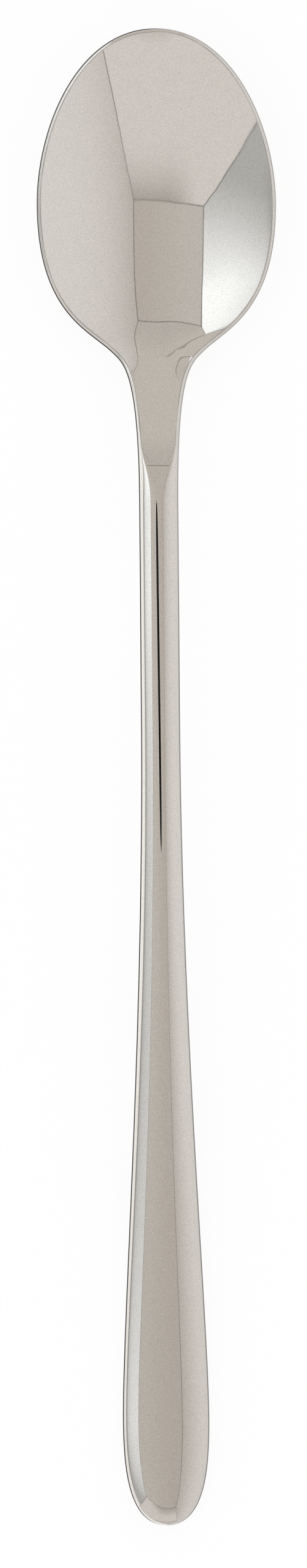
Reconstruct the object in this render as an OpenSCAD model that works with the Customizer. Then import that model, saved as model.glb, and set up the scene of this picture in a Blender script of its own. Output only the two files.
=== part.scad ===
// Iced tea spoon, lying on a table with its bowl up.
// A pressed bowl runs up a neck and ends in a round spigot. A forged handle is bored to take the spigot,
// and a film of silver braze joins the two. All three are polished flush.
// The bowl's tip points to +Y, the bowl opens to +Z, and the table is at Z = 0.
// Places along the spoon are distances back from the bowl's tip.

/* [Overall] */
// Length from the bowl's tip to the handle's end
spoon_l = 195; // [165:1:240]

/* [Bowl outline] */
// Width across the widest place of the bowl
bowl_w = 31.2; // [26:0.2:38]
// Distance from the tip to the widest place
tip_run = 22.7; // [19:0.1:27]
// Distance from the widest place to the heel, where the edge turns into the neck
heel_run = 19.1; // [16:0.1:24]
// Width across the heel
heel_w = 12; // [9:0.2:15]
// Angle between the edge at the heel and the spoon's length, in degrees
heel_angle = 46; // [36:1:54]

/* [Bowl hollow] */
// Distance from the tip to the deepest place
deepest_at = 31.5; // [27:0.1:36]
// Thickness of the metal at the deepest place
bowl_wall = 1.4; // [1:0.1:2]
// Height of the rim's plane above the table at the tip
tip_h = 10.2; // [8:0.1:12]
// Height of the rim's plane above the table at the heel
heel_h = 3.6; // [3:0.1:4.4]
// Width of the rounded lip round the bowl
lip_w = 0.5; // [0.4:0.05:0.8]
// Height of the lip above the edge
lip_h = 0.5; // [0.3:0.05:0.7]

/* [Neck] */
// Length over which the bowl's floor turns up
turn_run = 12.5; // [10:0.5:15]
// Length of the straight climb
climb_run = 8; // [6:0.5:11]
// Length over which the climb levels out at the crest
crest_run = 10; // [7:0.5:13]
// Distance before the heel at which the edge leaves the rim's plane and starts to climb
rise_run = 3.5; // [2.5:0.5:6]
// Height of the edge above the table at the crest
crest_h = 9.9; // [8.3:0.1:11.8]
// Length of the neck over which the lip widens into a round back
round_run = 8; // [6:0.5:12]
// Width of the slim shaft
shaft_w = 5.1; // [4.4:0.1:6]
// Height of the shaft's face above its edge
shaft_face_h = 1.5; // [1.4:0.1:2.2]
// Depth of the shaft's underside below its edge
shaft_under_h = 1.7; // [1.6:0.1:2.4]

/* [Handle] */
// Length of the slim shaft behind the crest, before it flares
shaft_run = 28; // [15:1:45]
// Length behind the crest that stays level, before the handle bends down to the table
level_run = 12; // [0:1:40]
// Width across the widest place of the grip
grip_w = 11.3; // [8:0.1:14]
// Distance from the widest place of the grip to the end
grip_run = 14; // [9:0.5:20]
// Height of the grip's face above its edge
grip_face_h = 1.8; // [1.4:0.1:2.6]
// Depth of the grip's underside below its edge
grip_under_h = 1.5; // [1:0.1:2.2]

/* [Joint] */
// Diameter of the bowl's spigot
spigot_d = 1.9; // [1.4:0.1:2.1]
// Length of the spigot
spigot_l = 12; // [6:0.5:20]
// Thickness of the braze between the two pieces
braze_gap = 0.1; // [0.06:0.01:0.15]
// Room left at the bottom of the handle's bore
bore_end_gap = 0.5; // [0.2:0.1:1]

/* [Hidden] */

// Points across one half of a lip, across the bowl's hollow, and across the underside
lip_steps = 6;
hollow_steps = 14;
under_steps = 18;
// Points across one half of the handle's face
face_steps = 8;
// Rows along the tip, the heel and the neck of the bowl
bowl_rows = [13, 14, 15];
// Rows along the shaft, the flare and the end of the handle
handle_rows = [9, 26, 13];
// Sides of the spigot and its bore
round_fn = 48;
// How far the spigot starts inside the neck, and how far the bore's cutter stands out of its mouth
overrun = 1;
// Two points of a row closer than this are one
weld = 0.0001;

// Lengths of each outline curve's two handles, as shares of the curve's own width or length
tip_curve_shares = [0.65, 0.44];
heel_curve_shares = [0.73, 0.22];
neck_curve_shares = [0.11, 0.87];
flare_curve_shares = [0.45, 0.145];
end_curve_shares = [0.40, 0.95];
// How gently the lip's height passes into the height of the neck's face
lip_soft_h = 0.3;
// How gently the rim's plane ends at the heel
rim_soft_run = 4;
// A section (1 - w^2)^power is a parabola at 1 and an ellipse at a half
hollow_under_power = 1;
round_under_power = 0.5;
// The handle's end closes in side view like |v|^power + |z|^power = 1
end_power = 4;

heel_at = tip_run + heel_run;
crest_at = deepest_at + turn_run + climb_run + crest_run;
flare_at = crest_at + shaft_run;
grip_at = spoon_l - grip_run;
handle_at = crest_at + braze_gap;
crest_face_z = crest_h + shaft_face_h;
crest_under_z = crest_h - shaft_under_h;
spigot_z = (crest_face_z + crest_under_z) / 2;
bore_d = spigot_d + 2 * braze_gap;
bore_l = spigot_l + bore_end_gap;

// Outline: cubic curves through [half width, distance from the tip]
heel_heading = [-sin(heel_angle), cos(heel_angle)];
heel_point = [heel_w / 2, heel_at];
neck_run = crest_at - heel_at;
flare_run = grip_at - flare_at;
tip_curve = [
    [0, 0],
    [tip_curve_shares[0] * bowl_w / 2, 0],
    [bowl_w / 2, (1 - tip_curve_shares[1]) * tip_run],
    [bowl_w / 2, tip_run],
];
heel_curve = [
    [bowl_w / 2, tip_run],
    [bowl_w / 2, tip_run + heel_curve_shares[0] * heel_run],
    heel_point - heel_curve_shares[1] * heel_run * heel_heading,
    heel_point,
];
neck_curve = [
    heel_point,
    heel_point + neck_curve_shares[0] * neck_run * heel_heading,
    [shaft_w / 2, crest_at - neck_curve_shares[1] * neck_run],
    [shaft_w / 2, crest_at],
];
shaft_curve = [for (k = [0:3]) [shaft_w / 2, blend(handle_at, flare_at, k / 3)]];
flare_curve = [
    [shaft_w / 2, flare_at],
    [shaft_w / 2, flare_at + flare_curve_shares[0] * flare_run],
    [grip_w / 2, grip_at - flare_curve_shares[1] * flare_run],
    [grip_w / 2, grip_at],
];
end_curve = [
    [grip_w / 2, grip_at],
    [grip_w / 2, grip_at + end_curve_shares[0] * grip_run],
    [end_curve_shares[1] * grip_w / 2, spoon_l],
    [0, spoon_l],
];

function blend(a, b, u) = a + (b - a) * u;
function limit(u) = max(0, min(1, u));
// Smooth step from 0 at a to 1 at b
function ease(a, b, s) = let (u = limit((s - a) / (b - a))) u * u * (3 - 2 * u);
// The larger of two values, with a bend of the given softness where they meet
function soft_larger(a, b, soft) = a - b > soft ? a : b + pow(max(0, a - b + soft), 2) / soft / 4;
function curve_point(p, u) =
    pow(1 - u, 3) * p[0] + 3 * pow(1 - u, 2) * u * p[1] + 3 * (1 - u) * u * u * p[2] + pow(u, 3) * p[3];
function curve_heading(p, u) =
    let (d = pow(1 - u, 2) * (p[1] - p[0]) + 2 * (1 - u) * u * (p[2] - p[1]) + u * u * (p[3] - p[2]))
    d / norm(d);

// Side view: the share of the neck's climb that is done at s, as two arcs with a straight ramp between
function climbed(s) =
    let (
        turn = max(0, min(turn_run, s - deepest_at)),
        climb = max(0, min(climb_run, s - deepest_at - turn_run)),
        level = max(0, min(crest_run, s - deepest_at - turn_run - climb_run))
    )
    (turn * turn / turn_run / 2 + climb + level - level * level / crest_run / 2)
        / (turn_run / 2 + climb_run + crest_run / 2);
// Share of the handle's end that is left at s, in side view
function end_left(s) = let (v = limit((s - grip_at) / grip_run)) pow(1 - pow(v, end_power), 1 / end_power);
function along_handle(s) = ease(crest_at, grip_at, s);

// Heights of the edge, of the face's middle and of the underside's middle
function edge_z(s) =
    let (
        rim_s = -soft_larger(-s, -heel_at, rim_soft_run),
        rim_z = blend(tip_h, heel_h, rim_s / heel_at),
        neck_z = blend(rim_z, crest_h, ease(heel_at - rise_run, crest_at, s))
    )
    blend(neck_z, grip_under_h, ease(crest_at + level_run, grip_at, s));
function face_z(s) =
    s < deepest_at ? bowl_wall + (tip_h + lip_h - bowl_wall) * pow((deepest_at - s) / (deepest_at - lip_w), 2)
    : s < crest_at ? blend(bowl_wall, crest_face_z, climbed(s))
    : edge_z(s) + blend(shaft_face_h, grip_face_h, along_handle(s)) * end_left(s);
function under_z(s) =
    s < deepest_at ? tip_h * pow((deepest_at - s) / deepest_at, 2)
    : s < crest_at ? crest_under_z * climbed(s)
    : edge_z(s) - blend(shaft_under_h, grip_under_h, along_handle(s)) * end_left(s);

// How far the neck's section has gone from a flat face between two lips to a round face
function rounded(s) = ease(crest_at - round_run, crest_at, s);
// Height of the lip above the edge: up the neck it passes gently into the height of the face's middle
function lip_rise_z(s) =
    let (face = face_z(s) - edge_z(s))
    s < deepest_at ? lip_h : blend(soft_larger(face, lip_h, lip_soft_h), face, rounded(s));

// One closed row of points, from the right edge over the face to the left edge and back underneath
function row(p, heading, lips, across, under) =
    let (
        s = p[1],
        round_share = rounded(s),
        lip_in = blend([heading[1], -heading[0]], [1, 0], round_share),
        lip_run = blend(lip_w, p[0], round_share),
        lip_rise = lip_rise_z(s),
        inner = p - lip_run * lip_in,
        crown = face_z(inner[1]) - edge_z(s) - lip_rise,
        under_power = blend(hollow_under_power, round_under_power, ease(heel_at, crest_at, s)),
        right_lip = [for (k = [0:lips])
            let (a = 90 * k / lips, q = blend(p, inner, 1 - cos(a)))
            [q[0], q[1], edge_z(s) + lip_rise * sin(a)]],
        hollow = [for (k = [1:1:across - 1])
            let (w = 1 - 2 * k / across)
            [w * inner[0], inner[1], edge_z(s) + lip_rise + crown * (1 - w * w)]],
        left_lip = [for (k = [lips:-1:0]) [-right_lip[k][0], right_lip[k][1], right_lip[k][2]]],
        below = [for (k = [1:under - 1])
            let (w = -cos(180 * k / under))
            [w * p[0], s, edge_z(s) - (edge_z(s) - under_z(s)) * pow(1 - w * w, under_power)]]
    )
    [for (q = concat(right_lip, hollow, left_lip, below)) [q[0], spoon_l / 2 - q[1], q[2]]];

function rows_along(curve, steps, first, lips, across, under) =
    [for (i = [first:steps])
        let (u = i / steps)
        row(curve_point(curve, u), curve_heading(curve, u), lips, across, under)];

bowl_loft = concat(
    rows_along(tip_curve, bowl_rows[0], 0, lip_steps, hollow_steps, under_steps),
    rows_along(heel_curve, bowl_rows[1], 1, lip_steps, hollow_steps, under_steps),
    rows_along(neck_curve, bowl_rows[2], 1, lip_steps, hollow_steps, under_steps)
);
handle_loft = concat(
    rows_along(shaft_curve, handle_rows[0], 0, face_steps, 1, under_steps),
    rows_along(flare_curve, handle_rows[1], 1, face_steps, 1, under_steps),
    rows_along(end_curve, handle_rows[2], 1, face_steps, 1, under_steps)
);

// Index of the first point of a row that lies where point j lies
function welded(points, j) = [for (k = [0:j]) if (norm(points[k] - points[j]) < weld) k][0];
function drop_repeats(ids) = [for (k = [0:len(ids) - 1]) if (ids[k] != ids[(k + 1) % len(ids)]) ids[k]];

// Closed skin through rows of equal length, with a flat lid on the first or the last row
module skin(rows, lid_first, lid_last) {
    n = len(rows[0]);
    ids = [for (i = [0:len(rows) - 1]) [for (j = [0:n - 1]) i * n + welded(rows[i], j)]];
    quads = [for (i = [0:len(rows) - 2]) for (j = [0:n - 1])
        [ids[i][j], ids[i][(j + 1) % n], ids[i + 1][(j + 1) % n], ids[i + 1][j]]];
    triangles = [for (q = quads) each [[q[0], q[2], q[1]], [q[0], q[3], q[2]]]];
    sides = [for (t = triangles) if (t[0] != t[1] && t[1] != t[2] && t[2] != t[0]) t];
    last = len(rows) - 1;
    first_lid = lid_first ? [ids[0]] : [];
    last_lid = lid_last ? [[for (j = [n - 1:-1:0]) ids[last][j]]] : [];
    lids = [for (lid = concat(first_lid, last_lid)) drop_repeats(lid)];
    polyhedron([for (r = rows) each r], concat(sides, lids));
}

// A round bar on the joint's axis, from s back along the spoon
module joint_bar(d, s, run) {
    translate([0, spoon_l / 2 - s, spigot_z]) rotate([90, 0, 0]) cylinder(d = d, h = run, $fn = round_fn);
}

module bowl() {
    color([0.80, 0.78, 0.75]) union() {
        skin(bowl_loft, false, true);
        joint_bar(spigot_d, crest_at - overrun, overrun + spigot_l);
    }
}

module handle() {
    color([0.78, 0.76, 0.73]) difference() {
        skin(handle_loft, true, false);
        joint_bar(bore_d, handle_at - overrun, overrun + bore_l);
    }
}

// The braze fills the ring round the spigot and the gap between the two faces
module neck_braze() {
    face = bowl_loft[len(bowl_loft) - 1];
    ids = drop_repeats([for (j = [0:len(face) - 1]) welded(face, j)]);
    color([0.84, 0.82, 0.76]) difference() {
        union() {
            translate([0, spoon_l / 2 - crest_at, 0]) rotate([90, 0, 0]) linear_extrude(braze_gap)
                polygon([for (j = ids) [face[j][0], face[j][2]]]);
            joint_bar(bore_d, crest_at, spigot_l);
        }
        joint_bar(spigot_d, crest_at - overrun, spigot_l + 2 * overrun);
    }
}

bowl();
handle();
neck_braze();
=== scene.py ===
# %% [markdown]
# # An iced tea spoon
# The spoon is polished steel: an egg-shaped bowl, a slim neck and a long handle that flares into a grip.
# A mirror shows its surroundings and little else, so the lesson has two halves. The first makes smooth
# meshes whose curves are true. The second builds the white tent that the mirror looks at.
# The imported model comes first, because every piece has to lie exactly where its solid lies.

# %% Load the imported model
import math
from types import SimpleNamespace

import bpy
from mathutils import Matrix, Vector


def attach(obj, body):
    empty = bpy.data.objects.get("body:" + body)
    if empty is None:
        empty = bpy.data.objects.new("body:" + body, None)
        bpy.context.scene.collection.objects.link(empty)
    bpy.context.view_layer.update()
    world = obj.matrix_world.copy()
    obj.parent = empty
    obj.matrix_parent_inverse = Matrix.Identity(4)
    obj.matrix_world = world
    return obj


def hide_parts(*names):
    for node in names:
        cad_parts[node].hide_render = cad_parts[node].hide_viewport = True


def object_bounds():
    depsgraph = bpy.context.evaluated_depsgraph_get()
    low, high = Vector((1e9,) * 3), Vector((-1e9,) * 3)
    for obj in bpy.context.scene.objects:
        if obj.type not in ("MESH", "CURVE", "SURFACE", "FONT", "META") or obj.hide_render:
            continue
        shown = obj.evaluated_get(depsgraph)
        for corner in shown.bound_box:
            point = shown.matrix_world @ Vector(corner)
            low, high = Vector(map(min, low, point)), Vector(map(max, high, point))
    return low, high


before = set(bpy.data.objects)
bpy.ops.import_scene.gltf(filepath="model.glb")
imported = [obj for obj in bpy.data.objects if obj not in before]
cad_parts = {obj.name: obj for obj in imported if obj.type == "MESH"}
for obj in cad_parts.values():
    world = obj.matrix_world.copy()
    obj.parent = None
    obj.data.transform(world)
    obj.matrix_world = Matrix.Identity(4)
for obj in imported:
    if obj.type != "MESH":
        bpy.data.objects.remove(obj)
cad_low, cad_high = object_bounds()
print("solids:", sorted(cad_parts))
print("box in mm:", [round(1000 * side, 2) for side in cad_high - cad_low])

# %% [markdown]
# ## Sizes
# A spoon is described by a few runs along its length and a few heights above the table. The length and
# the bowl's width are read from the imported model. The others repeat the model's sizes, in metres.
# Places along the spoon are distances back from the bowl's tip.

# %% Sizes of the spoon
MM = 0.001
SIZES = {
    "spoon_length": cad_high.y - cad_low.y,
    "deepest_at": 31.5 * MM,
    "bowl_wall": 1.4 * MM,
    "tip_height": 10.2 * MM,
    "heel_at": 41.8 * MM,
    "heel_height": 3.6 * MM,
    "rim_softness": 4 * MM,
    "rise_run": 3.5 * MM,
    "lip_width": 0.5 * MM,
    "lip_height": 0.5 * MM,
    "lip_softness": 0.3 * MM,
    "turn_run": 12.5 * MM,
    "climb_run": 8 * MM,
    "crest_run": 10 * MM,
    "crest_height": 9.9 * MM,
    "round_run": 8 * MM,
    "shaft_face": 1.5 * MM,
    "shaft_under": 1.7 * MM,
    "level_run": 12 * MM,
    "grip_run": 14 * MM,
    "grip_face": 1.8 * MM,
    "grip_under": 1.5 * MM,
}
size = SimpleNamespace(**SIZES)
bowl_width = cad_high.x - cad_low.x
tip_run = 22.7 * MM
heel_width = 12 * MM
heel_angle = math.radians(46)
shaft_width = 5.1 * MM
shaft_run = 28 * MM
grip_width = 11.3 * MM
braze_gap = 0.1 * MM
crest_at = size.deepest_at + size.turn_run + size.climb_run + size.crest_run
print("crest, in mm from the tip:", round(crest_at / MM, 1))

# %% [markdown]
# ## Wires
# Node trees are sums, and sums are easier to read as Python. A Wire is one output socket of a node tree.
# Adding, multiplying or comparing Wires adds the Math nodes that do it, and numbers mix in freely.
# Any other node comes from one method of the Bench, the tree that the Wires belong to.

# %% The wire and its bench
def operator(operation, swapped=False):
    def run(self, other):
        pair = (other, self) if swapped else (self, other)
        return self.bench.maths(operation, *pair)
    return run


def find_socket(sockets, key):
    by_identifier = {socket.identifier: socket for socket in sockets}
    return by_identifier[key] if key in by_identifier else sockets[key]


class Wire:
    """One output socket, which counts as a number in Python's sums."""

    def __init__(self, bench, socket):
        self.bench = bench
        self.socket = socket

    def __getitem__(self, output):
        return Wire(self.bench, find_socket(self.socket.node.outputs, output))

    __add__ = operator("ADD")
    __radd__ = operator("ADD", swapped=True)
    __sub__ = operator("SUBTRACT")
    __rsub__ = operator("SUBTRACT", swapped=True)
    __mul__ = operator("MULTIPLY")
    __rmul__ = operator("MULTIPLY", swapped=True)
    __truediv__ = operator("DIVIDE")
    __rtruediv__ = operator("DIVIDE", swapped=True)
    __pow__ = operator("POWER")
    __lt__ = operator("LESS_THAN")
    __gt__ = operator("GREATER_THAN")

    def __abs__(self):
        return self.bench.maths("ABSOLUTE", self)


class Bench:
    """A node tree, with one method that adds a node."""

    def __init__(self, tree):
        self.tree = tree

    def add(self, kind, settings=None, sockets=None):
        node = self.tree.nodes.new(kind)
        for name, value in (settings or {}).items():
            setattr(node, name, value)
        for key, value in (sockets or {}).items():
            socket = find_socket(node.inputs, key)
            if isinstance(value, Wire):
                self.tree.links.new(value.socket, socket)
            else:
                socket.default_value = value
        return Wire(self, node.outputs[0]) if node.outputs else None

    def maths(self, operation, *values):
        return self.add("ShaderNodeMath", {"operation": operation}, dict(enumerate(values)))

    def mix(self, share, first, second):
        sockets = {"Factor_Float": share, "A_Color": first, "B_Color": second}
        return self.add("ShaderNodeMix", {"data_type": "RGBA"}, sockets)["Result_Color"]


def larger(first, second):
    return (first if isinstance(first, Wire) else second).bench.maths("MAXIMUM", first, second)


def smaller(first, second):
    return (first if isinstance(first, Wire) else second).bench.maths("MINIMUM", first, second)


def limit(value, low=0, high=1):
    return larger(smaller(value, high), low)


def blend(first, second, share):
    return first + (second - first) * share


def ease(start, end, value):
    share = limit((value - start) / (end - start))
    return share * share * (3 - 2 * share)


print("wires are ready")

# %% [markdown]
# ## The outline
# Seen from above, half of the spoon's edge is one smooth line. A maker would cut it as a card template.
# Here it is a Bezier curve, drawn flat: X is the half width and Y is the distance from the tip.
# A polygon through many points could do it too, but four knots with handles keep the line fair.

# %% Outline curves
TIP_SHARES = (0.65, 0.44)
HEEL_SHARES = (0.73, 0.22)
NECK_SHARES = (0.11, 0.87)
FLARE_SHARES = (0.45, 0.145)
END_SHARES = (0.40, 0.95)
CURVE_STEPS = 128

bowl_half, shaft_half, grip_half = bowl_width / 2, shaft_width / 2, grip_width / 2
heel_run = size.heel_at - tip_run
neck_run = crest_at - size.heel_at
handle_at = crest_at + braze_gap
flare_at = crest_at + shaft_run
grip_at = size.spoon_length - size.grip_run
flare_run = grip_at - flare_at
heading = Vector((-math.sin(heel_angle), math.cos(heel_angle)))
tip = Vector((0, 0))
widest = Vector((bowl_half, tip_run))
heel = Vector((heel_width / 2, size.heel_at))
crest = Vector((shaft_half, crest_at))
neck_end = Vector((shaft_half, handle_at))
flare = Vector((shaft_half, flare_at))
grip = Vector((grip_half, grip_at))
end = Vector((0, size.spoon_length))
across, along = Vector((1, 0)), Vector((0, 1))

bowl_cubics = [
    (tip, tip + TIP_SHARES[0] * bowl_half * across, widest - TIP_SHARES[1] * tip_run * along, widest),
    (widest, widest + HEEL_SHARES[0] * heel_run * along, heel - HEEL_SHARES[1] * heel_run * heading, heel),
    (heel, heel + NECK_SHARES[0] * neck_run * heading, crest - NECK_SHARES[1] * neck_run * along, crest),
]
handle_cubics = [
    (end, end + END_SHARES[1] * grip_half * across, grip + END_SHARES[0] * size.grip_run * along, grip),
    (grip, grip - FLARE_SHARES[1] * flare_run * along, flare + FLARE_SHARES[0] * flare_run * along, flare),
    (flare, flare.lerp(neck_end, 1 / 3), flare.lerp(neck_end, 2 / 3), neck_end),
]


def draw_outline(name, cubics):
    data = bpy.data.curves.new(name, "CURVE")
    data.dimensions = "3D"
    data.resolution_u = CURVE_STEPS
    knots = data.splines.new("BEZIER").bezier_points
    knots.add(len(cubics))
    for knot in knots:
        knot.handle_left_type = knot.handle_right_type = "FREE"
    for before, after, cubic in zip(knots, knots[1:], cubics):
        before.co, before.handle_right, after.handle_left, after.co = [point.to_3d() for point in cubic]
    outline = bpy.data.objects.new(name, data)
    bpy.context.scene.collection.objects.link(outline)
    print(name, "has", len(knots), "knots")
    return outline


bowl_outline = draw_outline("bowl_outline", bowl_cubics)
handle_outline = draw_outline("handle_outline", handle_cubics)

# %% [markdown]
# ## The side view
# The heights follow rules. The rim lies in a plane that dips from the tip to the heel. There the edge turns
# softly, climbs the neck and runs down to the grip. The bowl's floor is a parabola that turns into a ramp,
# which levels out at the crest.
# Each rule is a Python function on Wires, so the same line of maths ends up as nodes in the tree.
# k holds the sizes as Wires, and s is the distance from the tip.

# %% Heights along the spoon
END_POWER = 4


def climbed(k, s):
    turn = limit(s - k.deepest_at, 0, k.turn_run)
    climb = limit(s - k.deepest_at - k.turn_run, 0, k.climb_run)
    level = limit(s - k.deepest_at - k.turn_run - k.climb_run, 0, k.crest_run)
    risen = turn * turn / k.turn_run / 2 + climb + level - level * level / k.crest_run / 2
    return risen / (k.turn_run / 2 + k.climb_run + k.crest_run / 2)


def soft_larger(value, least, softness):
    bend = larger(value - least + softness, 0)
    return blend(least + bend * bend / softness / 4, value, value - least > softness)


def edge_height(k, s):
    rim_end = 0 - soft_larger(0 - s, 0 - k.heel_at, k.rim_softness)
    rim = blend(k.tip_height, k.heel_height, rim_end / k.heel_at)
    neck_edge = blend(rim, k.crest_height, ease(k.heel_at - k.rise_run, k.crest_at, s))
    return blend(neck_edge, k.grip_under, ease(k.crest_at + k.level_run, k.grip_at, s))


def end_left(k, s):
    share = limit((s - k.grip_at) / k.grip_run)
    return (1 - share ** END_POWER) ** (1 / END_POWER)


def face_height(k, s):
    dip = larger(k.deepest_at - s, 0) / (k.deepest_at - k.lip_width)
    bowl_face = k.bowl_wall + (k.tip_height + k.lip_height - k.bowl_wall) * dip * dip
    neck_face = bowl_face + (k.crest_height + k.shaft_face - k.bowl_wall) * climbed(k, s)
    thickness = blend(k.shaft_face, k.grip_face, ease(k.crest_at, k.grip_at, s)) * end_left(k, s)
    return blend(neck_face, edge_height(k, s) + thickness, s > k.crest_at)


def under_height(k, s):
    dip = larger(k.deepest_at - s, 0) / k.deepest_at
    neck_under = k.tip_height * dip * dip + (k.crest_height - k.shaft_under) * climbed(k, s)
    thickness = blend(k.shaft_under, k.grip_under, ease(k.crest_at, k.grip_at, s)) * end_left(k, s)
    return blend(neck_under, edge_height(k, s) - thickness, s > k.crest_at)


def rounded(k, s):
    return ease(k.crest_at - k.round_run, k.crest_at, s)


def lip_rise(k, s):
    face = face_height(k, s) - edge_height(k, s)
    neck_rise = blend(soft_larger(face, k.lip_height, k.lip_softness), face, rounded(k, s))
    return blend(k.lip_height, neck_rise, s > k.deepest_at)


print("height rules are ready")

# %% [markdown]
# ## The skin
# A pressed spoon could be sculpted, or modelled with a few faces and subdivided. A mirror shows every
# bump of such a mesh, so this one is a loft: a fine grid whose rows are cross-sections. Geometry Nodes
# samples the outline once for each row, and puts each column at its share of the way round the section.
# The last rows turn inwards and make the round spigot of the bowl, or the bore of the handle.

# %% Inputs of the skin tree
FACE_COLUMNS, UNDER_COLUMNS, CORE_ROWS = 60, 36, 3
HALF_COLUMNS = FACE_COLUMNS + UNDER_COLUMNS
INPUT_KINDS = {"outline": "NodeSocketObject", "finish": "NodeSocketMaterial", "rows": "NodeSocketInt"}
INPUTS = ["outline", "finish", "rows", "hand", "core_radius", "core_end", *SIZES]

skin_tree = bpy.data.node_groups.new("spoon_skin", "GeometryNodeTree")
skin_tree.interface.new_socket("skin", in_out="OUTPUT", socket_type="NodeSocketGeometry")
for name in INPUTS:
    skin_tree.interface.new_socket(name, in_out="INPUT", socket_type=INPUT_KINDS.get(name, "NodeSocketFloat"))
skin = Bench(skin_tree)
tree_inputs = skin.add("NodeGroupInput")
k = SimpleNamespace(**{name: tree_inputs[name] for name in INPUTS})
k.crest_at = k.deepest_at + k.turn_run + k.climb_run + k.crest_run
k.grip_at = k.spoon_length - k.grip_run
print("the skin tree has", len(INPUTS), "inputs")

# %% [markdown]
# The grid's own X and Y say which row and column a point belongs to. A column starts on the middle of
# the face, runs to the edge and goes on underneath. The left half mirrors the right.
# The bowl's rows run back from the tip, and the handle's rows run forward from its end. So hand swaps the
# two sides on one of them, and the faces of both point outwards.

# %% Rows and columns of the skin
grid_sizes = {
    "Size X": 1,
    "Size Y": 1,
    "Vertices X": k.rows + (CORE_ROWS + 1),
    "Vertices Y": 2 * HALF_COLUMNS + 1,
}
grid = skin.add("GeometryNodeMeshGrid", {}, grid_sizes)
place = skin.add("ShaderNodeSeparateXYZ", {}, {"Vector": skin.add("GeometryNodeInputPosition")})
row = skin.maths("ROUND", (place["X"] + 0.5) * (k.rows + CORE_ROWS))
turn = skin.maths("ROUND", place["Y"] * (2 * HALF_COLUMNS))
side = skin.maths("SIGN", turn) * k.hand
step = HALF_COLUMNS - abs(turn)
face_share = limit(step / FACE_COLUMNS)
under_share = limit((step - FACE_COLUMNS) / UNDER_COLUMNS)

outline_curve = skin.add("GeometryNodeObjectInfo", {}, {"Object": k.outline})["Geometry"]
sample = skin.add(
    "GeometryNodeSampleCurve",
    {"mode": "FACTOR", "use_all_curves": True},
    {"Curves": outline_curve, "Factor": smaller(row / k.rows, 1)},
)
edge = skin.add("ShaderNodeSeparateXYZ", {}, {"Vector": sample["Position"]})
edge_heading = skin.add("ShaderNodeSeparateXYZ", {}, {"Vector": sample["Tangent"]})
print("rows and columns are ready")

# %% [markdown]
# Across a section, the hollow is a parabola, the lip is a quarter of an ellipse, and the underside goes
# from a parabola under the bowl to an ellipse under the shaft. Up the neck the lip widens until its two
# quarters meet as the round face of the shaft.

# %% The section
LIP_START_SHARE = 0.8
HOLLOW_CROWD = 0.3
QUARTER_TURN = math.pi / 2
PARABOLA_POWER, ELLIPSE_POWER = 1, 0.5
TINY = 1e-9

s = edge["Y"]
round_share = rounded(k, s)
lip_run = blend(k.lip_width, edge["X"], round_share)
inner_half = edge["X"] - lip_run * blend(edge_heading["Y"], 1, round_share)
inner_s = s + lip_run * blend(edge_heading["X"], 0, round_share)
rise = lip_rise(k, s)
edge_z = edge_height(k, s)
crown = face_height(k, inner_s) - edge_z - rise

lip_start = LIP_START_SHARE * (1 - round_share)
hollow_share = limit(face_share / larger(lip_start, TINY))
hollow = hollow_share * (1 + HOLLOW_CROWD - HOLLOW_CROWD * hollow_share * hollow_share)
lip_share = limit((face_share - lip_start) / (1 - lip_start))
lip = skin.maths("SINE", lip_share * QUARTER_TURN)
below = skin.maths("COSINE", under_share * QUARTER_TURN)
under_power = blend(PARABOLA_POWER, ELLIPSE_POWER, ease(k.heel_at, k.crest_at, s))

section_x = hollow * blend(inner_half, edge["X"], lip) * below
section_s = blend(inner_s, s, lip)
face_z = edge_z + rise * skin.maths("SQRT", 1 - lip * lip) + crown * (1 - hollow * hollow)
section_z = face_z - (edge_z - under_height(k, s)) * (1 - below * below) ** under_power
print("the section is ready")

# %% [markdown]
# The finish will need to know where a point lies across the lip, because it paints two thin dark lines of
# shade there: the corner at the lip's foot and the very edge. Both distances are kept as attributes of the
# mesh.
# Where the neck turns round, the two feet draw together and end.

# %% Distances across the lip
FOOT_DRIFT = 3 * MM
FOOT_END_SHARE = 0.27

foot_distance = lip * lip_run - (1 - hollow) * inner_half * edge_heading["Y"]
foot_distance += FOOT_DRIFT * (round_share + (round_share > FOOT_END_SHARE))
edge_distance = (1 - lip) * lip_run + under_share * edge["X"]
marked = grid
for name, distance in (("foot_distance", foot_distance), ("edge_distance", edge_distance)):
    marked = skin.add(
        "GeometryNodeStoreNamedAttribute",
        {"data_type": "FLOAT", "domain": "POINT"},
        {"Geometry": marked, "Name": name, "Value": distance},
    )
print("the lip's distances are ready")

# %% [markdown]
# The core is the round end that joins bowl and handle: a ring on the end face, a ring at the far end
# and a point that closes it. They are steps 1, 2 and 3, and half steps tell them apart. After that the
# doubled points are merged, the sharp corners of the core are marked, and the finish goes on.

# %% The core and the finished skin
WELD = 2e-7
SHARP_ANGLE = math.radians(28)

core_step = row - k.rows
core_turn = step * (math.pi / HALF_COLUMNS)
core_radius = k.core_radius * (core_step < 2.5)
core_z = k.crest_height + (k.shaft_face - k.shaft_under) / 2
on_core = core_step > 0.5
x = side * blend(section_x, core_radius * skin.maths("SINE", core_turn), on_core)
s_all = blend(section_s, blend(s, k.core_end, core_step > 1.5), on_core)
z = blend(section_z, core_z + core_radius * skin.maths("COSINE", core_turn), on_core)
point = skin.add("ShaderNodeCombineXYZ", {}, {"X": x, "Y": k.spoon_length / 2 - s_all, "Z": z})

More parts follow.
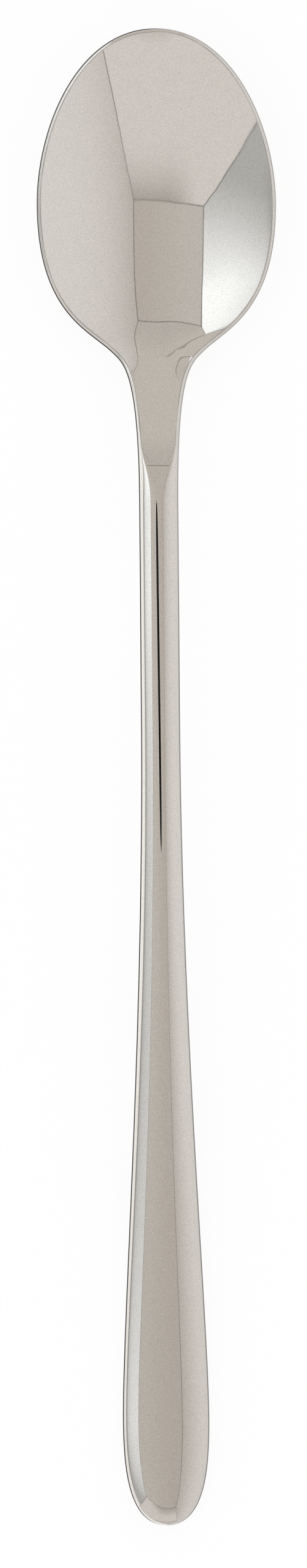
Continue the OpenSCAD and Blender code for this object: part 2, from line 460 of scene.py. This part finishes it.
shaped = skin.add("GeometryNodeSetPosition", {}, {"Geometry": marked, "Position": point})
welded = skin.add("GeometryNodeMergeByDistance", {}, {"Geometry": shaped, "Distance": WELD})
smooth = skin.add("GeometryNodeSetShadeSmooth", {}, {"Geometry": welded, "Shade Smooth": True})
corner = skin.add("GeometryNodeInputMeshEdgeAngle")["Unsigned Angle"] > SHARP_ANGLE
sharpened = skin.add(
    "GeometryNodeSetShadeSmooth",
    {"domain": "EDGE"},
    {"Geometry": smooth, "Selection": corner, "Shade Smooth": False},
)
real = skin.add("GeometryNodeRealizeInstances", {}, {"Geometry": sharpened})
finished = skin.add("GeometryNodeSetMaterial", {}, {"Geometry": real, "Material": k.finish})
skin.add("NodeGroupOutput", {}, {"skin": finished})
print("the skin tree has", len(skin_tree.nodes), "nodes")

# %% [markdown]
# ## Polished steel
# Stainless steel that has been buffed to a mirror is all reflection: a metal with a faintly warm grey and
# almost no roughness. What tells it from chrome in a drawing is small: the buffing leaves slow waves that
# make reflected lines waver, a fine grain of tone, and a breath of haze. The steel is a little darker towards
# the grip.
# A thin dark line of painted shade lies in the corner at the lip's foot, and another along the edge is a
# painted reflection of the shaded floor under the rim. It is dull and rough, not bare metal, or it would
# still mirror the white floor at the edge. On the right side the painted edge shade is lighter, round the
# bowl more than along the handle.

# %% The steel finish
STEEL = (0.86, 0.833, 0.794, 1)
GRIP_STEEL = (0.815, 0.785, 0.745, 1)
BLACK = (0, 0, 0, 1)
# Painted shade: the dull dark colour and roughness of the thin lines at the lip's foot and along the edge.
PAINTED_SHADE = (0.02, 0.018, 0.016, 1)
PAINTED_SHADE_ROUGHNESS = 0.6
FOOT_LINE = 0.065 * MM
EDGE_LINE = 0.2 * MM
LINE_RUN = 4 * MM
FOOT_SHARE = 0.55
# How much lighter the painted edge shade is on the right side, round the bowl and along the handle.
BOWL_SHADE_LIFT, HANDLE_SHADE_LIFT = 0.6, 0.3
SHADE_LIFT_RUN, SHADE_LIFT_TURN = 25 * MM, 2 * MM
GRAIN_DEPTH = 0.22
GRAIN_RUN = 0.11 * MM
WAVE_RUN = 2.5 * MM
WAVE_HEIGHT = 0.0045 * MM
HAZE_RUN = 16 * MM
GRAIN_RANGE, HAZE_RANGE, LINE_RANGE = (0.3, 0.7), (0.45, 0.75), (0.25, 0.6)
MIRROR_ROUGHNESS = 0.03
HAZE_ROUGHNESS = 0.025
GRIP_DARK_RUN = 70 * MM
NECK_Y = size.spoon_length / 2 - crest_at
GRIP_Y = size.spoon_length / 2 - grip_at


def noise(bench, at, run, detail=2):
    sockets = {"Vector": at, "Scale": 1 / run, "Detail": detail}
    return bench.add("ShaderNodeTexNoise", {}, sockets)["Fac"]


def new_finish(name):
    material = bpy.data.materials.new(name)
    material.use_nodes = True
    material.node_tree.nodes.clear()
    return material, Bench(material.node_tree)


# Painted shade: a thin dark line where a distance attribute is near zero.
def painted_shade_line(bench, attribute, half_width):
    distance = bench.add("ShaderNodeAttribute", {"attribute_name": attribute})["Fac"]
    return 1 - ease(half_width / 2, half_width, abs(distance))


def polished_metal(name, colour):
    material, bench = new_finish(name)
    at = bench.add("ShaderNodeTexCoord")["Object"]
    place = bench.add("ShaderNodeSeparateXYZ", {}, {"Vector": at})
    speck = GRAIN_DEPTH * ease(*GRAIN_RANGE, noise(bench, at, GRAIN_RUN))
    haze = ease(*HAZE_RANGE, noise(bench, at, HAZE_RUN))
    waves = noise(bench, at, WAVE_RUN, detail=1) * WAVE_HEIGHT
    patchy = ease(*LINE_RANGE, noise(bench, at, LINE_RUN))
    # Painted shade in the corner at the lip's foot, patchy along its length.
    foot_shade = painted_shade_line(bench, "foot_distance", FOOT_LINE) * FOOT_SHARE * patchy
    # The painted edge shade is lighter on the right side, more round the bowl than along the handle.
    right_shade_lift = blend(HANDLE_SHADE_LIFT, BOWL_SHADE_LIFT, ease(NECK_Y - SHADE_LIFT_RUN, NECK_Y + SHADE_LIFT_RUN, place["Y"]))
    right_shade_lift *= ease(-SHADE_LIFT_TURN, SHADE_LIFT_TURN, place["X"])
    # Painted shade along the edge: a painted reflection of the shaded floor under the rim.
    edge = painted_shade_line(bench, "edge_distance", EDGE_LINE) * (1 - right_shade_lift)
    painted_line_shade = larger(foot_shade, edge)
    # The steel is a little darker towards the grip.
    toward_grip = 1 - ease(GRIP_Y, GRIP_Y + GRIP_DARK_RUN, place["Y"])
    metal = bench.mix(speck, bench.mix(toward_grip, colour, GRIP_STEEL), BLACK)
    shader_inputs = {
        # The painted shade lines replace the steel with a dull dark colour.
        "Base Color": bench.mix(painted_line_shade, metal, PAINTED_SHADE),
        "Metallic": 1 - painted_line_shade,
        "Roughness": MIRROR_ROUGHNESS + HAZE_ROUGHNESS * haze + PAINTED_SHADE_ROUGHNESS * painted_line_shade,
        "Normal": bench.add("ShaderNodeBump", {}, {"Distance": 1, "Height": waves}),
    }
    shader = bench.add("ShaderNodeBsdfPrincipled", {}, shader_inputs)
    bench.add("ShaderNodeOutputMaterial", {}, {"Surface": shader})
    return material


bowl_steel = polished_metal("bowl_steel", STEEL)
handle_steel = polished_metal("handle_steel", STEEL)
print("finishes:", bowl_steel.name, handle_steel.name)

# %% [markdown]
# ## Bowl and handle
# Each piece is an empty mesh with the skin tree on it. The evaluated result is kept as a plain mesh, and
# the modifier goes, so the piece that rides on the frame is nothing but faces.

# %% Make the pieces
SPIGOT_RADIUS = 0.95 * MM
SPIGOT_RUN = 12 * MM
BORE_END_GAP = 0.5 * MM
BOWL_ROWS, HANDLE_ROWS = 300, 360


def make_piece(name, **values):
    piece = bpy.data.objects.new(name, bpy.data.meshes.new(name))
    bpy.context.scene.collection.objects.link(piece)
    modifier = piece.modifiers.new("skin", "NODES")
    modifier.node_group = skin_tree
    for item in skin_tree.interface.items_tree:
        if item.in_out == "INPUT":
            modifier[item.identifier] = {**SIZES, **values}[item.name]
    depsgraph = bpy.context.evaluated_depsgraph_get()
    made = bpy.data.meshes.new_from_object(piece.evaluated_get(depsgraph))
    piece.modifiers.remove(modifier)
    piece.data = made
    print(name, "has", len(made.vertices), "points and", len(made.polygons), "faces")
    return piece


bowl = make_piece(
    "bowl_polished", outline=bowl_outline, finish=bowl_steel, rows=BOWL_ROWS, hand=-1.0,
    core_radius=SPIGOT_RADIUS, core_end=crest_at + SPIGOT_RUN,
)
handle = make_piece(
    "handle_polished", outline=handle_outline, finish=handle_steel, rows=HANDLE_ROWS, hand=1.0,
    core_radius=SPIGOT_RADIUS + braze_gap, core_end=handle_at + SPIGOT_RUN + BORE_END_GAP,
)
for outline in (bowl_outline, handle_outline):
    bpy.data.objects.remove(outline)
for piece, node, slot in ((bowl, "bowl", "bowl_steel"), (handle, "handle", "handle_steel")):
    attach(piece, "root")
    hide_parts(node)

# %% [markdown]
# ## Braze
# A film of silver braze holds the spigot in its bore, and a hair's breadth of it reaches the surface round
# the neck. Its solid has flat facets, which would glint as a broken line in a mirror finish. So it is made
# again as six smooth rings: round the surface of the neck, into the bore, along it, and back on the spigot.
# It is buffed together with the steel, so it takes the same finish in a slightly warmer white. The finish
# reads the same two distances, which a short list of numbers gives here.

# %% The braze piece
BRAZE = (0.865, 0.837, 0.79, 1)
RING_POINTS = 192


def ring(s, half, rise, fall, middle):
    points = []
    for i in range(RING_POINTS):
        angle = 2 * math.pi * i / RING_POINTS
        z = middle + math.sin(angle) * (rise if math.sin(angle) > 0 else fall)
        points.append((half * math.cos(angle), size.spoon_length / 2 - s, z))
    return points


bore_radius = SPIGOT_RADIUS + braze_gap
spigot_end = crest_at + SPIGOT_RUN
spigot_height = size.crest_height + (size.shaft_face - size.shaft_under) / 2
shaft = (shaft_half, size.shaft_face, size.shaft_under, size.crest_height)
bore = (bore_radius, bore_radius, bore_radius, spigot_height)
spigot = (SPIGOT_RADIUS, SPIGOT_RADIUS, SPIGOT_RADIUS, spigot_height)
stations = [(crest_at, shaft), (handle_at, shaft), (handle_at, bore)]
stations += [(spigot_end, bore), (spigot_end, spigot), (crest_at, spigot)]
braze_points = [point for s, section in stations for point in ring(s, *section)]
braze_faces = []
for order in range(len(stations)):
    here, beyond = order * RING_POINTS, (order + 1) % len(stations) * RING_POINTS
    for i in range(RING_POINTS):
        after = (i + 1) % RING_POINTS
        braze_faces.append((here + i, here + after, beyond + after, beyond + i))
braze_mesh = bpy.data.meshes.new("braze_polished")
braze_mesh.from_pydata(braze_points, [], braze_faces)
braze_mesh.shade_smooth()
braze_mesh.set_sharp_from_angle(angle=SHARP_ANGLE)
# The edge distance puts the painted edge shade along the braze's sides too.
edge_distances = [shaft_half - abs(point[0]) for point in braze_points]
foot_distances = [shaft_half] * len(braze_points)
for name, distances in (("edge_distance", edge_distances), ("foot_distance", foot_distances)):
    braze_mesh.attributes.new(name, "FLOAT", "POINT").data.foreach_set("value", distances)
braze_mesh.materials.append(polished_metal("silver_braze", BRAZE))
braze = bpy.data.objects.new("braze_polished", braze_mesh)
bpy.context.scene.collection.objects.link(braze)
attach(braze, "root")
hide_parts("neck_braze")
print("braze in mm:", [round(side / MM, 2) for side in braze.dimensions])

# %% [markdown]
# ## Floor
# The spoon lies on plain white. A lit floor alone comes out grey, so where the camera looks at it, most of
# its white is its own light. The rest is lit, and keeps the spoon's soft shadow. The metal sees more of
# the lit floor, because the shaded floor close under the bowl is what gives a polished underside its form.
# In the metal, the floor on the lamp's side is brighter, and the tent's right panel shades the other side.

# %% The floor
FLOOR_HALF = 20
WHITE = (1, 1, 1, 1)
FLOOR_WHITE = (0.97, 0.97, 0.97, 1)
FLOOR_LIT = (1.32, 1.30, 1.26, 1)
FLOOR_SHADE = (0.57, 0.53, 0.49, 1)
CAMERA_GLOW, METAL_GLOW = 0.9, 0.4

floor_mesh = bpy.data.meshes.new("floor")
corners = [(-1, -1), (1, -1), (1, 1), (-1, 1)]
floor_mesh.from_pydata([(FLOOR_HALF * u, FLOOR_HALF * v, cad_low.z) for u, v in corners], [], [(0, 1, 2, 3)])
floor = bpy.data.objects.new("floor", floor_mesh)
bpy.context.scene.collection.objects.link(floor)
floor_white, bench = new_finish("floor_white")
ray = bench.add("ShaderNodeLightPath")
floor_place = bench.add("ShaderNodeSeparateXYZ", {}, {"Vector": bench.add("ShaderNodeTexCoord")["Object"]})
mirrored = bench.mix(floor_place["X"] > 0, FLOOR_LIT, FLOOR_SHADE)
looked_at = ray["Is Camera Ray"] * CAMERA_GLOW + ray["Is Glossy Ray"] * METAL_GLOW
lit = bench.add("ShaderNodeBsdfDiffuse", {}, {"Color": FLOOR_WHITE})
glow_colour = bench.mix(ray["Is Glossy Ray"], WHITE, mirrored)
glow = bench.add("ShaderNodeEmission", {}, {"Color": glow_colour, "Strength": 1})
mixed = bench.add("ShaderNodeMixShader", {}, {"Fac": looked_at, 1: lit, 2: glow})
bench.add("ShaderNodeOutputMaterial", {}, {"Surface": mixed})
floor_mesh.materials.append(floor_white)
print("floor at", round(cad_low.z, 6))

# %% [markdown]
# ## The tent
# Product photographers put polished things in a white tent, and the mirror shows the tent's panels and
# the dark seams between them. The tent could be built of planes, but then every other camera would have to
# look through them. Painted on the world by direction, it is everywhere and in nobody's way.
# A direction that rises is scaled until it meets the ceiling. There it is a point of a plan view.
# The ceiling is a rectangle whose left and front edges bow out, as slack cloth does.

# %% Plan of the tent
CEILING_LEFT, CEILING_RIGHT, CEILING_BACK, CEILING_FRONT = -0.565, 0.265, -0.325, 0.62
BACK_SLANT, LEFT_BOW, FRONT_BOW, FRONT_BOW_FROM = 0.035, 0.2, 0.8, -0.1
LEFT_BOW_SPAN = (-0.4, 1.5)
FOLD_AT, FOLD_TURN, FOLD_RISE = 1.25, -0.5, 0.55
BACK_RIGHT_SLOPE, FRONT_RIGHT_SLOPE, BACK_LEFT_SLOPE, FRONT_LEFT_SLOPE = 2, 2.4, 0.65, 3
LEAST_RISE = 0.02

world = bpy.data.worlds.new("tent")
bpy.context.scene.world = world
world.use_nodes = True
world.node_tree.nodes.clear()
tent = Bench(world.node_tree)
direction = tent.add("ShaderNodeSeparateXYZ", {}, {"Vector": tent.add("ShaderNodeTexCoord")["Generated"]})
height = larger(direction["Z"], LEAST_RISE)
plan_x = direction["X"] / height
plan_y = direction["Y"] / height
on_left = plan_x < 0
on_front = plan_y > 0
left_bend = limit(plan_y, *LEFT_BOW_SPAN)
front_bend = limit(FRONT_BOW_FROM - plan_x)
past_left = CEILING_LEFT - LEFT_BOW * left_bend * left_bend - plan_x
past_side = larger(past_left, plan_x - CEILING_RIGHT)
past_back = CEILING_BACK - BACK_SLANT * plan_x - plan_y
past_end = larger(past_back, plan_y - CEILING_FRONT - FRONT_BOW * front_bend * front_bend)
past_edge = larger(past_side, past_end)
in_ceiling = past_edge < 0
left_slope = blend(BACK_LEFT_SLOPE, FRONT_LEFT_SLOPE, on_front)
right_slope = blend(BACK_RIGHT_SLOPE, FRONT_RIGHT_SLOPE, on_front)
corner_slope = blend(right_slope, left_slope, on_left)
past_corner = past_side * corner_slope - past_end
past_fold = plan_y - FOLD_AT - FOLD_RISE * larger(FOLD_TURN - plan_x, 0)
on_side = (past_corner > 0) * (1 - on_left * (past_fold > 0))
print("the tent's plan is ready")

# %% [markdown]
# Each panel has its own white, and most of them are greyer along the ceiling's edge, where little light
# gets in. The lamp stands outside the left panel, so that one goes from grey to bright along its length,
# as far as a fold where the front panel laps over it. It greys again towards the dark hem at its foot, and
# below the hem the white table shows along the horizon.

# %% The panels
CEILING_NEAR, CEILING_FAR = (0.645, 0.61, 0.575, 1), (0.58, 0.54, 0.50, 1)
RIGHT_TOP, RIGHT_LOW = (0.61, 0.58, 0.555, 1), (0.84, 0.815, 0.80, 1)
BACK_TOP, BACK_LOW = (0.44, 0.415, 0.385, 1), (0.79, 0.76, 0.74, 1)
FRONT_TOP, FRONT_LOW = (0.585, 0.555, 0.52, 1), (0.66, 0.625, 0.585, 1)
LEFT_DIM, LEFT_BRIGHT = (0.53, 0.532, 0.522, 1), (1.27, 1.31, 1.34, 1)
HEM = (0.36, 0.36, 0.355, 1)
TABLE_WHITE = (1.05, 1.04, 1.02, 1)
CEILING_SPAN, FRONT_SPAN = (-0.5, 0.25), (0.7, 1.4)
RIGHT_START, RIGHT_RUN = 0.27, 0.62
BACK_START, BACK_RUN = 0.29, 0.3
BACK_SHADE_SPAN, BACK_FOOT, BACK_FOOT_SPAN = (-0.55, -0.1), 0.4, (0.82, 0.86)
LAMP_SPAN, LAMP_FALL, LAMP_FALL_SPAN = (-0.62, 0.37), 0.5, (0.7, 2.4)
HEM_RISE, HEM_SPAN, TABLE_RISE = (0.31, 0.47), (-0.9, -0.45), (0.19, 0.32)


def fade(value, start, run):
    left = 1 - limit((value - start) / run)
    return 1 - left * left


ceiling = tent.mix(ease(*CEILING_SPAN, plan_x), CEILING_NEAR, CEILING_FAR)
right_panel = tent.mix(fade(direction["X"], RIGHT_START, RIGHT_RUN), RIGHT_TOP, RIGHT_LOW)
back = 0 - direction["Y"]
back_light = 1 - (1 - fade(back, BACK_START, BACK_RUN)) * ease(*BACK_SHADE_SPAN, plan_x)
back_panel = tent.mix(back_light * (1 - BACK_FOOT * ease(*BACK_FOOT_SPAN, back)), BACK_TOP, BACK_LOW)
front_panel = tent.mix(ease(*FRONT_SPAN, plan_y), FRONT_TOP, FRONT_LOW)
lamp = ease(*LAMP_SPAN, plan_y) * (1 - LAMP_FALL * ease(*LAMP_FALL_SPAN, 0 - plan_x))
hem = (1 - ease(*HEM_RISE, direction["Z"])) * ease(*HEM_SPAN, plan_y)
left_panel = tent.mix(hem, tent.mix(lamp, LEFT_DIM, LEFT_BRIGHT), HEM)
left_panel = tent.mix(ease(*TABLE_RISE, direction["Z"]), TABLE_WHITE, left_panel)
side_panel = tent.mix(on_left, right_panel, left_panel)
end_panel = tent.mix(on_front, back_panel, front_panel)
panels = tent.mix(in_ceiling, tent.mix(on_side, end_panel, side_panel), ceiling)
print("the panels are painted")

# %% [markdown]
# Where two panels meet there is a seam. Its width is an angle, so the plan's distances are shrunk by
# how low the direction is.

# %% The seams and the world
SEAM = (0.2, 0.19, 0.18, 1)
SEAM_HALF, BACK_HALF, CORNER_HALF = 0.008, 0.0045, 0.006
FOLD_SHARE, FOLD_END_SPAN = 0.7, (-0.35, -0.15)

corner_run = tent.maths("SQRT", 1 + corner_slope * corner_slope)
edge_gap = abs(past_edge) * height * height / blend(SEAM_HALF, BACK_HALF, past_back > past_side)
corner_gap = abs(past_corner) / corner_run * height / CORNER_HALF
fold_gap = abs(past_fold) * height * height / SEAM_HALF
corner_seam = (1 - ease(0, 1, corner_gap)) * (1 - in_ceiling) * (1 - on_left * (past_fold > 0))
fold_seam = FOLD_SHARE * (1 - ease(0, 1, fold_gap)) * (1 - ease(*FOLD_END_SPAN, plan_x))
seam = (1 - ease(0, 1, edge_gap)) + corner_seam + fold_seam
sewn = tent.mix(limit(seam), panels, SEAM)

ray = tent.add("ShaderNodeLightPath")
seen = tent.mix(ray["Is Glossy Ray"], WHITE, sewn)
light = tent.add("ShaderNodeBackground", {}, {"Color": seen, "Strength": 1})
tent.add("ShaderNodeOutputWorld", {}, {"Surface": light})
print("the tent has", len(world.node_tree.nodes), "nodes")

# %% [markdown]
# ## The black strip
# A round bar of polished metal looks flat in an even tent. Photographers hang a slim strip of black card
# close above it, out of the camera's sight, and its reflection draws a thin dark line along the bar.
# Only reflections see this strip, and it casts no shadow. Reflections that come from farther than the
# strip's reach pass through it, so the bowl stays clean of it in other views.

# %% The strip above the shaft
STRIP_FRONT = Vector((-1.55, 37.1)) * MM
STRIP_BACK = Vector((-0.25, -12.0)) * MM
STRIP_HEIGHT = 21 * MM
STRIP_HALF = 0.78 * MM
STRIP_POWER = 6
STRIP_STEPS = 40
STRIP_REACH = 16 * MM
CARD_BLACK = (0.012, 0.012, 0.012, 1)

strip_points = []
for i in range(STRIP_STEPS + 1):
    share = i / STRIP_STEPS
    place = STRIP_FRONT.lerp(STRIP_BACK, share)
    half = STRIP_HALF * math.sqrt(1 - abs(2 * share - 1) ** STRIP_POWER)
    strip_points += [(place.x - half, place.y, STRIP_HEIGHT), (place.x + half, place.y, STRIP_HEIGHT)]
strip_faces = [(2 * i, 2 * i + 1, 2 * i + 3, 2 * i + 2) for i in range(STRIP_STEPS)]
strip_mesh = bpy.data.meshes.new("black_strip")
strip_mesh.from_pydata(strip_points, [], strip_faces)
strip = bpy.data.objects.new("black_strip", strip_mesh)
bpy.context.scene.collection.objects.link(strip)
strip_black, bench = new_finish("strip_black")
card = bench.add("ShaderNodeEmission", {}, {"Color": CARD_BLACK, "Strength": 1})
clear = bench.add("ShaderNodeBsdfTransparent")
near = bench.add("ShaderNodeLightPath")["Ray Length"] < STRIP_REACH
shown = bench.add("ShaderNodeMixShader", {}, {"Fac": near, 1: clear, 2: card})
bench.add("ShaderNodeOutputMaterial", {}, {"Surface": shown})
strip_mesh.materials.append(strip_black)
strip.visible_camera = strip.visible_diffuse = strip.visible_shadow = False
strip.visible_transmission = strip.visible_volume_scatter = False
print("strip in mm:", round((STRIP_FRONT - STRIP_BACK).length / MM, 1))

# %% [markdown]
# ## Camera
# The photograph looks straight down. Two pixels of it, the bowl's tip and the handle's end, give the
# scale, the slight turn of the spoon in the frame and the place of the picture's middle. The tip lies
# higher than the end, so it is nearer to the lens, and each pixel is weighed with its own distance.

# %% The camera
PHOTO_WIDTH, PHOTO_HEIGHT = 500, 2550
TIP_PIXEL = Vector((252.3, 46.0))
END_PIXEL = Vector((272.0, 2480.5))
CAMERA_HEIGHT = 1.5
SENSOR = 36

spoon_pixels = END_PIXEL - TIP_PIXEL
roll = math.atan2(spoon_pixels.x, spoon_pixels.y)
right = Vector((math.cos(roll), -math.sin(roll)))
up = Vector((math.sin(roll), math.cos(roll)))
photo_middle = Vector((PHOTO_WIDTH / 2, PHOTO_HEIGHT / 2))
tip_sight = (TIP_PIXEL - photo_middle) * (CAMERA_HEIGHT - size.tip_height)
end_sight = (END_PIXEL - photo_middle) * (CAMERA_HEIGHT - size.grip_under)
spoon_tip = Vector((0, size.spoon_length / 2))
pixels_per_slope = (end_sight - tip_sight).y / (2 * spoon_tip.dot(up))
middle = right * (spoon_tip.dot(right) - tip_sight.x / pixels_per_slope)
middle += up * (spoon_tip.dot(up) + tip_sight.y / pixels_per_slope)

camera_data = bpy.data.cameras.new("camera")
camera_data.sensor_width = SENSOR
camera_data.lens = SENSOR * pixels_per_slope / PHOTO_HEIGHT
camera = bpy.data.objects.new("camera", camera_data)
camera.location = (middle.x, middle.y, CAMERA_HEIGHT)
camera.rotation_euler = (0, 0, -roll)
bpy.context.scene.collection.objects.link(camera)
bpy.context.scene.camera = camera
bpy.context.scene.view_settings.view_transform = "Standard"
print("lens in mm:", round(camera_data.lens, 1), "turn in degrees:", round(math.degrees(roll), 2))
